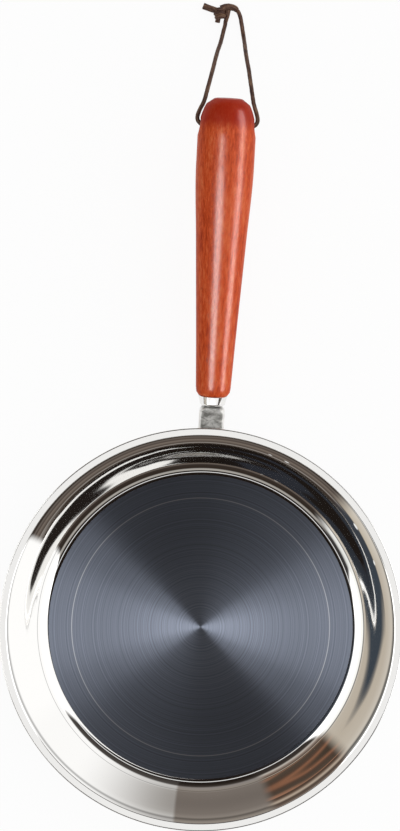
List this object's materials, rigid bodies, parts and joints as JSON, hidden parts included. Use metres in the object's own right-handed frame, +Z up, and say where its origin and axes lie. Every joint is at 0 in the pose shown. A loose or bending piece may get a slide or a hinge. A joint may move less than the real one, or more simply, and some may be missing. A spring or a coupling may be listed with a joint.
{
  "type": "frying pan",
  "caption": "Shallow steel frying pan with a flared rim, bonded base disc, turned wooden handle on a short metal bracket, and a leather hanging loop.",
  "frame": {"origin": "centre of the base disc's flat bottom, on the surface that the pan stands on", "axes": "+Z up along the bowl's axis, +Y from the bowl's axis towards the handle, +X to the right when looking down with the handle pointing away"},
  "size_m": [0.2404, 0.4982, 0.064],
  "materials": {
    "bowl_steel": "stainless steel, mirror-polished wall and circular-brushed floor",
    "base_steel": "satin stainless steel",
    "core_aluminium": "as rolled",
    "bracket_steel": "tumbled, grey and slightly grainy",
    "ferrule_steel": "polished",
    "fastener_steel": "zinc plated",
    "handle_wood": "red-brown hardwood, varnished satin",
    "lace_leather": "dark brown, waxed"
  },
  "bodies": {
    "pan": {"pan_shell": "bowl_steel", "base_core": "core_aluminium", "base_cap": "base_steel", "handle_bracket": "bracket_steel", "lock_washer": "fastener_steel", "handle_screw": "fastener_steel", "ferrule": "ferrule_steel", "wooden_handle": "handle_wood"},
    "hanging_loop": {"cord_loop": "lace_leather", "cord_knot": "lace_leather"}
  },
  "joints": [
    {"name": "loop_swing", "type": "hinge", "parent": "pan", "child": "hanging_loop", "pos_m": [0, 0.29895, 0.0474], "axis": [1, 0, 0], "range_deg": [-55, 120]}
  ]
}
